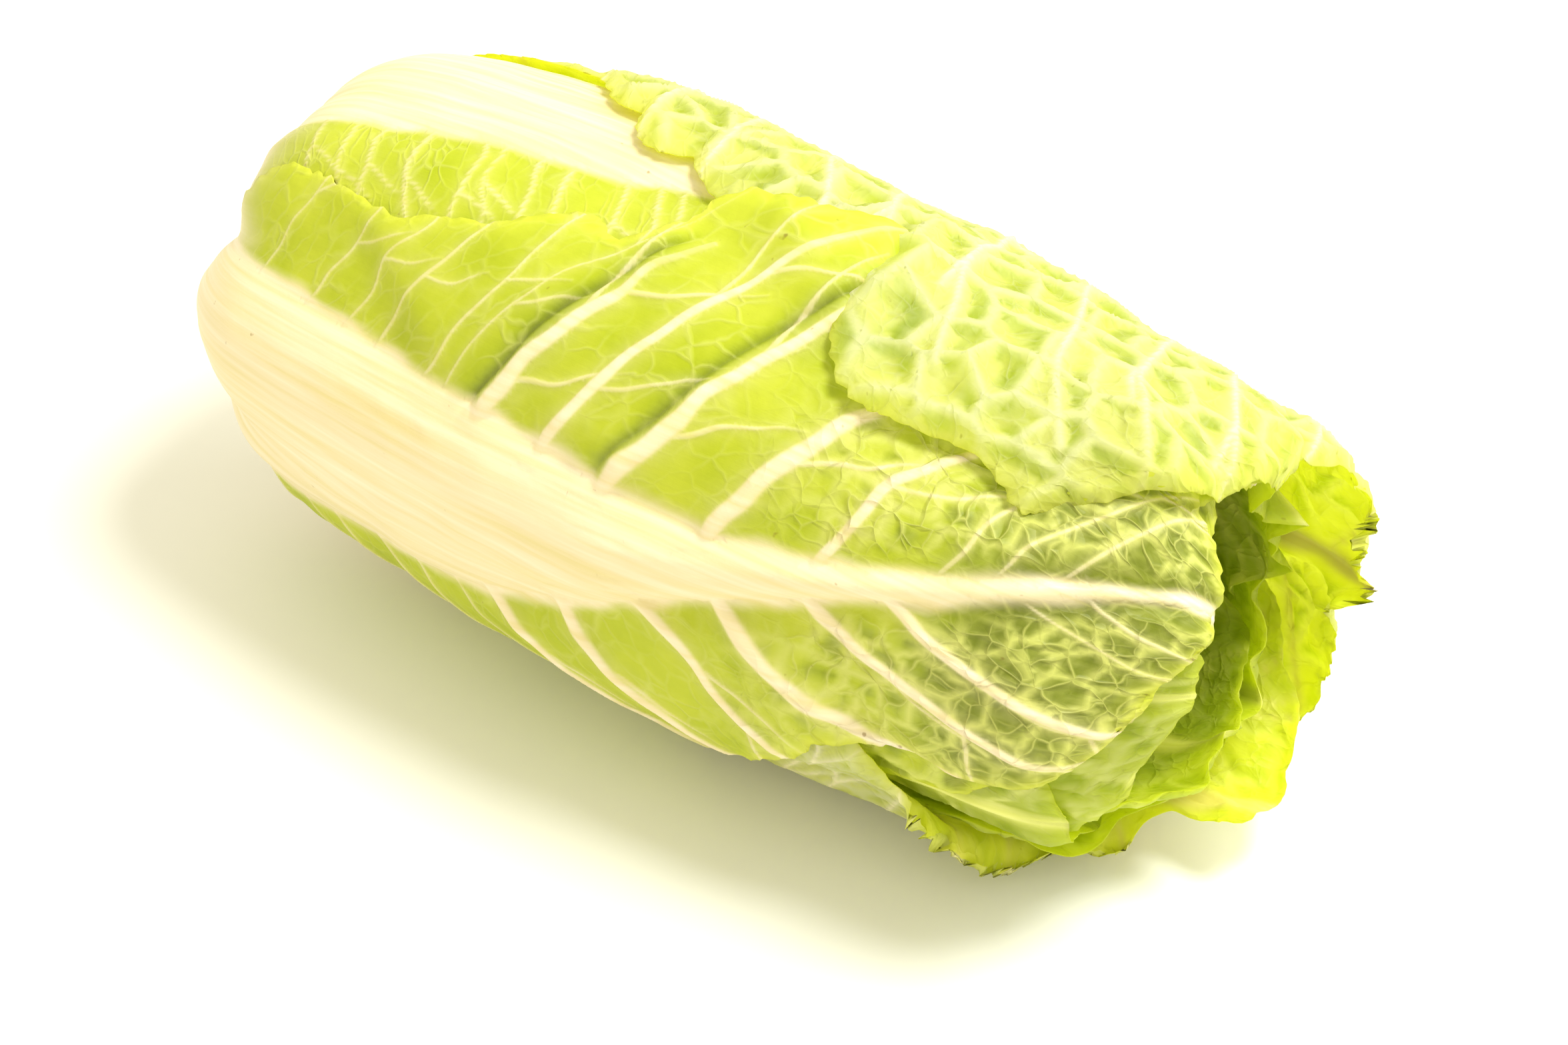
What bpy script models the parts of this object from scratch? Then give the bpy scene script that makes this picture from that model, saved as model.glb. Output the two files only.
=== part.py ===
"""Napa cabbage head lying on its side: butt towards -X, leafy tip towards +X, its underside on z = 0.

Every leaf is a closed solid of its own.  Leaves are laid out on a chart of the head's outside: s is the
distance in millimetres along the head's outline from the cut butt towards the tip, and theta is the angle in
degrees round the head's long axis, 0 towards -Y, 90 up, 180 towards +Y.  The outer leaves are laid one over
another from the inside out, so that each one drapes over the ribs and margins beneath it.
"""

import bmesh
import bpy
import numpy as np

MM = 0.001

# ---- the head's outside, in millimetres and degrees --------------------------------------------------------
BUTT_X = -164.0
BUTT_RADIUS = 22.0
SHOULDER_LENGTH = 58.0
BELLY_LENGTH = 232.0
CROWN_LENGTH = 62.0
OUTLINE = [  # s, slope of the outline against the long axis: shoulder, belly and crown are one arc each
    (0, 90), (SHOULDER_LENGTH, 12), (SHOULDER_LENGTH + BELLY_LENGTH, -14),
    (SHOULDER_LENGTH + BELLY_LENGTH + CROWN_LENGTH, -88),
]
AXIS_HEIGHT = 72.5
# theta at which the tips start to stand straight, do so fully, begin to stop and have stopped
OPEN_SIDE = (92, 140, 292, 345)
OPEN_SLOPE = -12.0  # slope that the standing tips keep instead of folding over the crown
CHART_S = 3.0
CHART_THETA = 3.0
CHART_LENGTH = 351.0

# ---- what all outer leaves share ---------------------------------------------------------------------------
BLADE_THICKNESS = 1.0
LEAF_GAP = 1.6
RIB_HALF_WIDTH = [(0, 32), (60, 35), (140, 24), (200, 9), (330, 2)]
RIB_HEIGHT = [(0, 5), (100, 5), (240, 2), (330, 0.5)]
HALF_TURN = [(0, 60), (40, 64), (80, 72), (150, 84), (235, 90), (280, 84), (300, 70), (318, 52), (340, 34)]
ROW_S = (0, 9, 18, 28, 40, 58, 85, 120, 155, 190, 220, 245, 266, 284, 300, 316, 332)
SHORTEST_LAST_ROW = 7.0
COLUMN_TURN = 17.0  # the widest column of faces
SPREAD_STEPS = 6  # how far a leaf keeps clear of what it passes over, in steps of the chart
SOFTEN_STEPS = 4
LEVEL_STEPS = 60
FLOOR_SNAP = 1.4  # an outer face lower than this lies flat on the floor


def wrapping(name, rib, tip, width=0.95, left=(), right=(), rib_scale=1.0, looseness=1.0):
    """An outer leaf.  rib is its theta at the butt and at the tip, and how late it turns from one to the other.
    left is the margin at lower theta and right the one at higher theta: HALF_TURN from the rib, with lobes.
    A lobe is the s of its middle, how far it reaches along s, and how many degrees it adds."""
    return {"name": name, "rib": rib, "tip": tip, "width": width, "left": left, "right": right,
            "rib_scale": rib_scale, "looseness": looseness}


# Outermost first.
OUTER_LEAVES = [
    # its left margin swings over the top near the tip and lies on the front leaf
    wrapping("outer_leaf_back", (190, 186, 1), 333, 0.95, [(268, 60, 42), (320, 45, 34)], [(180, 160, -26)],
             looseness=1.7),
    # its rib turns upwards near the tip, where its lower margin rises off the floor
    wrapping("outer_leaf_front", (2, 60, 3), 334, 0.9, [(250, 80, -42)], [(110, 80, -16), (300, 70, -20)]),
    wrapping("outer_leaf_top", (105, 114, 1), 318, 0.95, [(50, 110, -20)]),
    wrapping("outer_leaf_bottom", (279, 262, 6), 332, 0.95, [], [(290, 60, -34)], rib_scale=0.95),
    wrapping("outer_leaf_upper_front", (57, 57, 1), 332, rib_scale=0.9),
    wrapping("inner_leaf_low_back", (235, 235, 1), 328, 0.9, rib_scale=0.9),
    wrapping("inner_leaf_low_front", (330, 330, 1), 320, 0.9, rib_scale=0.9),
    wrapping("inner_leaf_high_back", (150, 150, 1), 312, 0.9, rib_scale=0.9),
    wrapping("inner_leaf_front", (16, 16, 1), 338, 0.86, rib_scale=0.9),
    wrapping("inner_leaf_under", (262, 262, 1), 306, 0.84, rib_scale=0.9),
]

# ---- the heart, whose leaves are closed cups one inside another --------------------------------------------
HEART_LEAVES = 8
HEART_RADIUS_SHARE = 0.555  # of the head's radius, for the outermost of them
HEART_RADIUS_STEP = 0.051
HEART_LENGTH_SHARE = 0.9
HEART_LENGTH_STEP = 0.04
HEART_START = 26.0  # from the butt to the base of the outermost heart leaf
HEART_START_STEP = 5.0
HEART_FIRST_THETA = 65.0
DIVERGENCE = 137.5  # the turn from each heart leaf to the next
HEART_HALF_TURN = 100.0
HEART_TIP = 330.0
HEART_RIB = 1.6
HEART_ROW_S = (0, 14, 32, 60, 105, 160, 210, 248, 276, 298, 316, 330)
BUD_X = (-92.0, 48.0)
BUD_RADIUS = 8.5

STEM_FACE = 1.5  # how far the cut face stands proud of the leaf bases
STEM_CLEARANCE = 0.8
STEM_CHAMFER = 1.2
STEM_SIDES = 28

COLOURS = {  # sRGB and roughness
    "outer": ((0.80, 0.85, 0.33), 0.45),
    "inner": ((0.90, 0.91, 0.52), 0.45),
    "heart": ((0.96, 0.94, 0.60), 0.45),
    "stem": ((0.95, 0.92, 0.74), 0.6),
}


def smooth_step(t):
    t = np.clip(t, 0, 1)
    return t * t * (3 - 2 * t)


def profile_of(points, s):
    return np.interp(s, *zip(*points))


def rib_of(leaf, s):
    start, end, lateness = leaf["rib"]
    return start + (end - start) * (s / leaf["tip"]) ** lateness


def half_turn(leaf, side, s):
    """Degrees from the rib to the margin on one side."""
    turn = profile_of(HALF_TURN, s) * leaf["width"]
    for middle, reach, extra in leaf[side]:
        off = np.clip((s - middle) / reach, -1, 1)
        turn = turn + extra * np.cos(off * np.pi / 2) ** 2
    return turn


def outline_chart():
    """x, radius and slope (radians) of the head's outside at every point of the chart."""
    s = np.arange(0, CHART_LENGTH + CHART_S / 2, CHART_S)
    theta = np.arange(0, 360, CHART_THETA)
    start, full, fading, end = OPEN_SIDE
    opening = smooth_step((theta - start) / (full - start)) * smooth_step((end - theta) / (end - fading))
    folded = profile_of(OUTLINE, s)[:, None]
    slope = np.radians(folded + opening * np.maximum(0, OPEN_SLOPE - folded))
    middle = (slope[1:] + slope[:-1]) / 2
    start_row = np.zeros((1, len(theta)))
    x = BUTT_X + np.cumsum(np.vstack([start_row, np.cos(middle) * CHART_S]), axis=0)
    radius = BUTT_RADIUS + np.cumsum(np.vstack([start_row, np.sin(middle) * CHART_S]), axis=0)
    return s[:, None], theta[None, :], x, radius, slope


def sample(field, s, theta):
    """A chart's field between its points; theta goes round and round."""
    i = np.clip(np.asarray(s, float) / CHART_S, 0, field.shape[0] - 1.001)
    j = (np.asarray(theta, float) / CHART_THETA) % field.shape[1]
    i0, j0 = i.astype(int), j.astype(int)
    a, b, j1 = i - i0, j - j0, (j0 + 1) % field.shape[1]
    near = field[i0, j0] * (1 - b) + field[i0, j1] * b
    far = field[i0 + 1, j0] * (1 - b) + field[i0 + 1, j1] * b
    return near * (1 - a) + far * a


def shifted(field, ds, dtheta):
    """The field moved by whole steps; its first and last rows repeat beyond its ends."""
    rows = np.clip(np.arange(field.shape[0]) + ds, 0, field.shape[0] - 1)
    return np.roll(field[rows], dtheta, axis=1)


def spread(field, steps):
    """Each point takes the highest value around it."""
    for _ in range(steps):
        field = np.maximum.reduce([shifted(field, i, j) for i in (-1, 0, 1) for j in (-1, 0, 1)])
    return field


def soften(field, steps):
    for _ in range(steps):
        field = (shifted(field, -1, 0) + 2 * field + shifted(field, 1, 0)) / 4
        field = (shifted(field, 0, -1) + 2 * field + shifted(field, 0, 1)) / 4
    return field


def thickness(leaf, s, off_mm):
    """Blade and rib together, at a distance to the side of the rib's middle."""
    across = np.clip(np.abs(off_mm) / profile_of(RIB_HALF_WIDTH, s), 0, 1)
    return BLADE_THICKNESS + leaf["rib_scale"] * profile_of(RIB_HEIGHT, s) * (1 - across**2) ** 1.5


def lay_leaves():
    """Lays the outer leaves from the inside out; gives each its inner and outer heights over the outline."""
    s, theta, x, radius, slope = outline_chart()
    top = np.zeros(x.shape)
    for leaf in reversed(OUTER_LEAVES):
        off = (theta - rib_of(leaf, s) + 180) % 360 - 180
        within = (
            (off >= -half_turn(leaf, "left", s) - CHART_THETA)
            & (off <= half_turn(leaf, "right", s) + CHART_THETA)
            & (s <= leaf["tip"] + CHART_S)
        )
        draped = np.maximum(soften(spread(top, SPREAD_STEPS), SOFTEN_STEPS), spread(top, 1))
        leaf["under"] = draped + LEAF_GAP * leaf["looseness"]
        leaf["over"] = leaf["under"] + thickness(leaf, s, np.radians(off) * radius)
        top = np.where(within, leaf["over"], top)
    level = soften(top, LEVEL_STEPS)
    lowest = AXIS_HEIGHT + (radius + np.cos(slope) * (top - level)) * np.sin(np.radians(theta))
    chart = {"x": x, "radius": radius, "slope": slope, "level": level, "lift": np.maximum(0, -lowest)}
    return chart


def place_outer(chart, s, theta, height, is_outside):
    """Points in metres on an outer leaf, flattened where the head rests on the floor."""
    height = height - sample(chart["level"], s, theta)
    slope = sample(chart["slope"], s, theta)
    radius = sample(chart["radius"], s, theta) + np.cos(slope) * height
    x = sample(chart["x"], s, theta) - np.sin(slope) * height
    turn = np.radians(theta)
    z = AXIS_HEIGHT + radius * np.sin(turn) + sample(chart["lift"], s, theta)
    z = np.where(is_outside & (z < FLOOR_SNAP), 0, z)
    return np.stack([x, -radius * np.cos(turn), z], -1) * MM


def principled(name, rgb, roughness):
    material = bpy.data.materials.new(name)
    material.use_nodes = True
    shader = material.node_tree.nodes["Principled BSDF"]
    shader.inputs["Base Color"].default_value = (*(c**2.2 for c in rgb), 1)
    shader.inputs["Roughness"].default_value = roughness
    return material


def finish(name, bm, look):
    """Closes up a bmesh into a named object with its own material."""
    bm.normal_update()
    bmesh.ops.recalc_face_normals(bm, faces=bm.faces)
    bmesh.ops.triangulate(bm, faces=bm.faces)
    mesh = bpy.data.meshes.new(name)
    bm.to_mesh(mesh)
    bm.free()
    mesh.shade_smooth()
    mesh.materials.append(principled(name, *COLOURS[look]))
    thing = bpy.data.objects.new(name, mesh)
    bpy.context.collection.objects.link(thing)
    return thing


def two_skins(rows, columns, place):
    """A sheet of rows by columns with a second skin over it; place(row, column, is_outside) gives its points."""
    bm = bmesh.new()
    bmesh.ops.create_grid(bm, x_segments=rows - 1, y_segments=columns - 1, size=0.5)
    second = bmesh.ops.extrude_face_region(bm, geom=bm.faces[:])
    outside = {v for v in second["geom"] if isinstance(v, bmesh.types.BMVert)}
    row = np.array([round((v.co.x + 0.5) * (rows - 1)) for v in bm.verts])
    column = np.array([round((v.co.y + 0.5) * (columns - 1)) for v in bm.verts])
    is_outside = np.array([v in outside for v in bm.verts])
    for vert, point in zip(bm.verts, place(row, column, is_outside)):
        vert.co = point
    return bm


def column_shares(left_turn, right_turn):
    """Columns as shares of the way from the rib, at 0, to the left margin, at -1, and the right one, at 1."""
    left = np.linspace(-1, 0, int(np.ceil(left_turn / COLUMN_TURN)) + 1)
    right = np.linspace(0, 1, int(np.ceil(right_turn / COLUMN_TURN)) + 1)
    return np.concatenate([left, right[1:]])


def outer_leaf(leaf, chart):
    rows = np.array([s for s in ROW_S if s < leaf["tip"] - SHORTEST_LAST_ROW] + [leaf["tip"]], float)
    shares = column_shares(half_turn(leaf, "left", rows).max(), half_turn(leaf, "right", rows).max())

    def place(row, column, is_outside):
        s, share = rows[row], shares[column]
        turn = np.where(share < 0, half_turn(leaf, "left", s), half_turn(leaf, "right", s))
        theta = rib_of(leaf, s) + turn * share
        height = np.where(is_outside, sample(leaf["over"], s, theta), sample(leaf["under"], s, theta))
        return place_outer(chart, s, theta, height, is_outside)

    look = "outer" if leaf["name"].startswith("outer") else "inner"
    return finish(leaf["name"], two_skins(len(rows), len(shares), place), look)


def heart_leaf(number):
    """A cup-shaped leaf inside the others, drawn in to a smaller radius and length."""
    girth = HEART_RADIUS_SHARE - HEART_RADIUS_STEP * number
    length = HEART_LENGTH_SHARE - HEART_LENGTH_STEP * number
    middle = HEART_FIRST_THETA + DIVERGENCE * number
    rows = np.array(HEART_ROW_S, float)
    shares = column_shares(HEART_HALF_TURN, HEART_HALF_TURN)
    _, _, x_chart, radius_chart, slope_chart = outline_chart()

    def place(row, column, is_outside):
        s, share = rows[row], shares[column]
        theta = middle + share * HEART_HALF_TURN
        slope = sample(slope_chart, s, 0)
        slope = np.arctan2(np.sin(slope) * girth, np.cos(slope) * length)
        rib = HEART_RIB * (1 - np.abs(share)) * (1 - s / HEART_TIP)
        height = np.where(is_outside, BLADE_THICKNESS + rib, 0)
        x = BUTT_X + HEART_START + HEART_START_STEP * number + (sample(x_chart, s, 0) - BUTT_X) * length
        radius = sample(radius_chart, s, 0) * girth + np.cos(slope) * height
        turn = np.radians(theta)
        x = x - np.sin(slope) * height
        return np.stack([x, -radius * np.cos(turn), AXIS_HEIGHT + radius * np.sin(turn)], -1) * MM

    return finish(f"heart_leaf_{number + 1}", two_skins(len(rows), len(shares), place), "heart")


def stem():
    """The core: as wide as the leaf bases allow at the cut face, drawn in where the heart leaves grow from it."""
    face = BUTT_X - STEM_FACE
    wide = BUTT_RADIUS - STEM_CLEARANCE
    outline = [(face, 0), (face, wide - STEM_CHAMFER), (face + STEM_CHAMFER, wide), (BUTT_X + HEART_START - 8, wide)]
    for number in range(HEART_LEAVES):
        girth = HEART_RADIUS_SHARE - HEART_RADIUS_STEP * number
        start = BUTT_X + HEART_START + HEART_START_STEP * number
        outline.append((start - 3.5, BUTT_RADIUS * girth - STEM_CLEARANCE))
    outline.append((outline[-1][0] + 3, 0))
    bm = bmesh.new()
    verts = [bm.verts.new((x * MM, 0, (AXIS_HEIGHT + radius) * MM)) for x, radius in outline]
    edges = [bm.edges.new(pair) for pair in zip(verts, verts[1:])]
    axis = {"cent": (0, 0, AXIS_HEIGHT * MM), "axis": (1, 0, 0)}
    bmesh.ops.spin(bm, geom=verts + edges, **axis, angle=2 * np.pi, steps=STEM_SIDES, use_merge=True)
    bmesh.ops.remove_doubles(bm, verts=bm.verts, dist=0.01 * MM)
    return finish("stem", bm, "stem")


def heart_bud():
    bm = bmesh.new()
    bmesh.ops.create_uvsphere(bm, u_segments=12, v_segments=9, radius=1)
    start, end = BUD_X
    for v in bm.verts:
        along, y, z = v.co.z, v.co.x, v.co.y
        v.co = ((start + end) / 2 + along * (end - start) / 2, y * BUD_RADIUS, AXIS_HEIGHT + z * BUD_RADIUS)
        v.co *= MM
    return finish("heart_bud", bm, "heart")


def main():
    for thing in list(bpy.data.objects):
        bpy.data.objects.remove(thing)
    chart = lay_leaves()
    for leaf in OUTER_LEAVES:
        outer_leaf(leaf, chart)
    for number in range(HEART_LEAVES):
        heart_leaf(number)
    heart_bud()
    stem()


main()
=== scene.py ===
"""Napa cabbage: the looks of the head's leaves, core and stage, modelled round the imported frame.

Leaves are drawn on a chart of the head's outside.  On it s is the distance in millimetres along the outline
from the cut butt towards the tip, and theta is the angle in degrees round the long axis, 0 towards -Y, 90 up
and 180 towards +Y.  The wrapping leaves are laid one over another from the inside out.
"""

from functools import partial

import bmesh
import bpy
import numpy as np
from bpy.props import FloatProperty, FloatVectorProperty, PointerProperty
from mathutils import Matrix, Vector


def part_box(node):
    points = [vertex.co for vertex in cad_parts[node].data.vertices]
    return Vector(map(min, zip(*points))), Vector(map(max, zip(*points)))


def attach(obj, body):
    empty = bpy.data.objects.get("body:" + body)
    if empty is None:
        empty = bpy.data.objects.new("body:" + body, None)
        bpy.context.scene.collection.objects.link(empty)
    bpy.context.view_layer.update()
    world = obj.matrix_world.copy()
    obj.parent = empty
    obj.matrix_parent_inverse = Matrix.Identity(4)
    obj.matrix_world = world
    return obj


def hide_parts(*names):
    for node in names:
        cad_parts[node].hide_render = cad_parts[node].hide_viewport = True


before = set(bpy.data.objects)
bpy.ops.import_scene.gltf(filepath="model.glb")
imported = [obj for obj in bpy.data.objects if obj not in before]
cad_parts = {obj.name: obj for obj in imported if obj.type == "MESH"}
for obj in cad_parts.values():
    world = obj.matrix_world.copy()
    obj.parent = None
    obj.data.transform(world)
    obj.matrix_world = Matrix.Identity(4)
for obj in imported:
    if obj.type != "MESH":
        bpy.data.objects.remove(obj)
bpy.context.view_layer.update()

bl_info = {
    "name": "Napa cabbage",
    "version": (1, 0, 0),
    "blender": (4, 5, 0),
    "location": "View3D > Sidebar > Cabbage",
    "description": "A napa cabbage head of separate wrapping leaves, heart and core",
    "category": "Add Mesh",
}

MM = 0.001

# ---- the head's outside, in millimetres and degrees ----
STEM_LOW, STEM_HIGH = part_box("stem")
STEM_FACE = 1.5  # how far the cut face stands proud of the leaf bases
BUTT_X = STEM_LOW[0] / MM + STEM_FACE
AXIS_HEIGHT = (STEM_LOW[2] + STEM_HIGH[2]) / 2 / MM
BUTT_RADIUS = 22.0
SHOULDER_LENGTH = 58.0
BELLY_LENGTH = 232.0
CROWN_LENGTH = 62.0
OUTLINE = [  # s, slope of the outline against the long axis: shoulder, belly and crown are one arc each
    (0, 90), (SHOULDER_LENGTH, 12), (SHOULDER_LENGTH + BELLY_LENGTH, -14),
    (SHOULDER_LENGTH + BELLY_LENGTH + CROWN_LENGTH, -88),
]
# theta at which the tips start to stand straight, do so fully, begin to stop and have stopped
OPEN_SIDE = (92, 140, 292, 345)
OPEN_SLOPE = -12.0
CHART_S = 1.5
CHART_THETA = 1.5
CHART_LENGTH = 354.0
GIRTH = 1.25  # millimetres of width on the flat chart for each degree of theta

LEAST_RADIUS = 1.5
CLEARANCE = 0.05  # above the floor
LEAF_GAP = 0.4
SPREAD_MM = 3.0  # a leaf bridges hollows up to about twice this wide
SOFTEN_MM = 7.0  # and rounds off the steps beneath it over this distance
SETTLE_MM = 2.2
LEVEL_MM = 60.0  # the pile's thickness is levelled out over this distance
LEVEL_STEPS = 4  # chart steps to one step of the levelling
UNDERSIDE_MM = 3  # rounding at the edge of the flattened underside
UNDER_FRONT = 216  # s up to which the back leaf lies under the front leaf
COMES_OVER, COMES_OVER_MM = 211, 14  # s where it starts to come out over it, and over what distance
OPEN_TIP = 262  # s where the tips start to be loose
# how far a point looks for the margin, a vein, a fold and a curling edge
EDGE_REACH, VEIN_REACH, FOLD_REACH, CURL_REACH = 16, 12, 30, 34


def smooth_step(t):
    t = np.clip(t, 0, 1)
    return t * t * (3 - 2 * t)


def profile_of(points, s):
    return np.interp(s, *zip(*points))


def flat(points):
    """(s, theta) points as millimetres along and across the flat chart."""
    return np.asarray(points, float) * (1, GIRTH)


def flowing(points, step):
    """A smooth line through the points, with a point every step or so."""
    p = np.asarray(points, float)
    q = np.vstack([2 * p[0] - p[1], p, 2 * p[-1] - p[-2]])
    line = []
    for a, b, c, d in zip(q, q[1:], q[2:], q[3:]):
        count = max(1, int(np.ceil(np.hypot(*(c - b)) / step)))
        t = np.arange(count)[:, None] / count
        bend = (2 * a - 5 * b + 4 * c - d) * t**2 + (3 * b - a - 3 * c + d) * t**3
        line.append((2 * b + (c - a) * t + bend) / 2)
    return np.vstack([*line, p[-1:]])


def noise(points, size, seed):
    """Smooth random waves between -1 and 1, about size millimetres apart."""
    lattice = np.random.default_rng(seed).uniform(-1, 1, (61, 67))
    q = np.asarray(points, float) / size + 1000
    i = np.floor(q).astype(int)
    f = smooth_step(q - i)
    x0, y0 = i[:, 0] % 61, i[:, 1] % 67
    x1, y1 = (x0 + 1) % 61, (y0 + 1) % 67
    low = lattice[x0, y0] * (1 - f[:, 0]) + lattice[x1, y0] * f[:, 0]
    high = lattice[x0, y1] * (1 - f[:, 0]) + lattice[x1, y1] * f[:, 0]
    return low * (1 - f[:, 1]) + high * f[:, 1]


def cells(points, size, stretch, seed):
    """Distance in millimetres to the nearest border between irregular cells, and a random number per cell."""
    lattice = np.random.default_rng(seed).uniform(-0.36, 0.36, (59, 53, 2))
    tint = np.random.default_rng(seed + 1).uniform(0, 1, (59, 53))
    q = np.asarray(points, float) / (size * stretch, size)
    home = np.floor(q).astype(int)
    first = np.full(len(q), 1e9)
    second = first.copy()
    seat = np.zeros_like(q)
    other = np.zeros_like(q)
    shade = np.zeros(len(q))
    for dx in (-1, 0, 1):
        for dy in (-1, 0, 1):
            c = home + (dx, dy)
            at = c + 0.5 + lattice[c[:, 0] % 59, c[:, 1] % 53]
            at[:, 0] += 0.5 * (c[:, 1] % 2)
            away = ((q - at) ** 2).sum(1)
            nearest = away < first
            runner_up = ~nearest & (away < second)
            second = np.where(nearest, first, np.where(runner_up, away, second))
            other = np.where(nearest[:, None], seat, np.where(runner_up[:, None], at, other))
            first = np.where(nearest, away, first)
            seat = np.where(nearest[:, None], at, seat)
            shade = np.where(nearest, tint[c[:, 0] % 59, c[:, 1] % 53], shade)
    apart = np.sqrt(((other - seat) ** 2).sum(1)) + 1e-6
    return (second - first) / (2 * apart) * size, shade


def from_line(line, points, reach):
    """Distance of each point from a line, at most reach and positive on its left.

    Also the share of the way along the line, the nearest point of it, and the direction to its right there.
    """
    best = np.full(len(points), float(reach))
    side = np.ones(len(points))
    share = np.zeros(len(points))
    foot = points.copy()
    right = np.zeros_like(points)
    order = np.argsort(points[:, 0])
    along_s = points[order, 0]
    for k, (a, b) in enumerate(zip(line, line[1:])):
        low, high = np.minimum(a, b) - reach, np.maximum(a, b) + reach
        near = order[slice(*np.searchsorted(along_s, (low[0], high[0])))]
        near = near[(points[near, 1] > low[1]) & (points[near, 1] < high[1])]
        run = b - a
        offset = points[near] - a
        t = np.clip(offset @ run / (run @ run + 1e-12), 0, 1)
        gap = offset - t[:, None] * run
        away = np.hypot(*gap.T)
        nearer = away < best[near]
        near = near[nearer]
        best[near] = away[nearer]
        side[near] = np.sign(run[0] * offset[nearer, 1] - run[1] * offset[nearer, 0] + 1e-9)
        share[near] = (k + t[nearer]) / (len(line) - 1)
        foot[near] = points[near] - gap[nearer]
        right[near] = (run[1], -run[0]) / (np.hypot(*run) + 1e-12)
    return best * side, share, foot, right


def inside(line, points):
    """True for points within a closed line."""
    x, y = points[:, 0], points[:, 1]
    within = np.zeros(len(points), bool)
    for (ax, ay), (bx, by) in zip(line, np.roll(line, -1, axis=0)):
        if ay == by:
            continue
        crosses = (y < ay) != (y < by)
        within ^= crosses & (x < ax + (y - ay) * (bx - ax) / (by - ay))
    return within


def between(field, i, j):
    """A field between its points, at row i and column j; the columns go round and round."""
    i = np.clip(i, 0, field.shape[0] - 1.001)
    j = j % field.shape[1]
    i0, j0 = i.astype(int), j.astype(int)
    a, b, j1 = i - i0, j - j0, (j0 + 1) % field.shape[1]
    near = field[i0, j0 % field.shape[1]] * (1 - b) + field[i0, j1] * b
    far = field[i0 + 1, j0 % field.shape[1]] * (1 - b) + field[i0 + 1, j1] * b
    return near * (1 - a) + far * a


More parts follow.
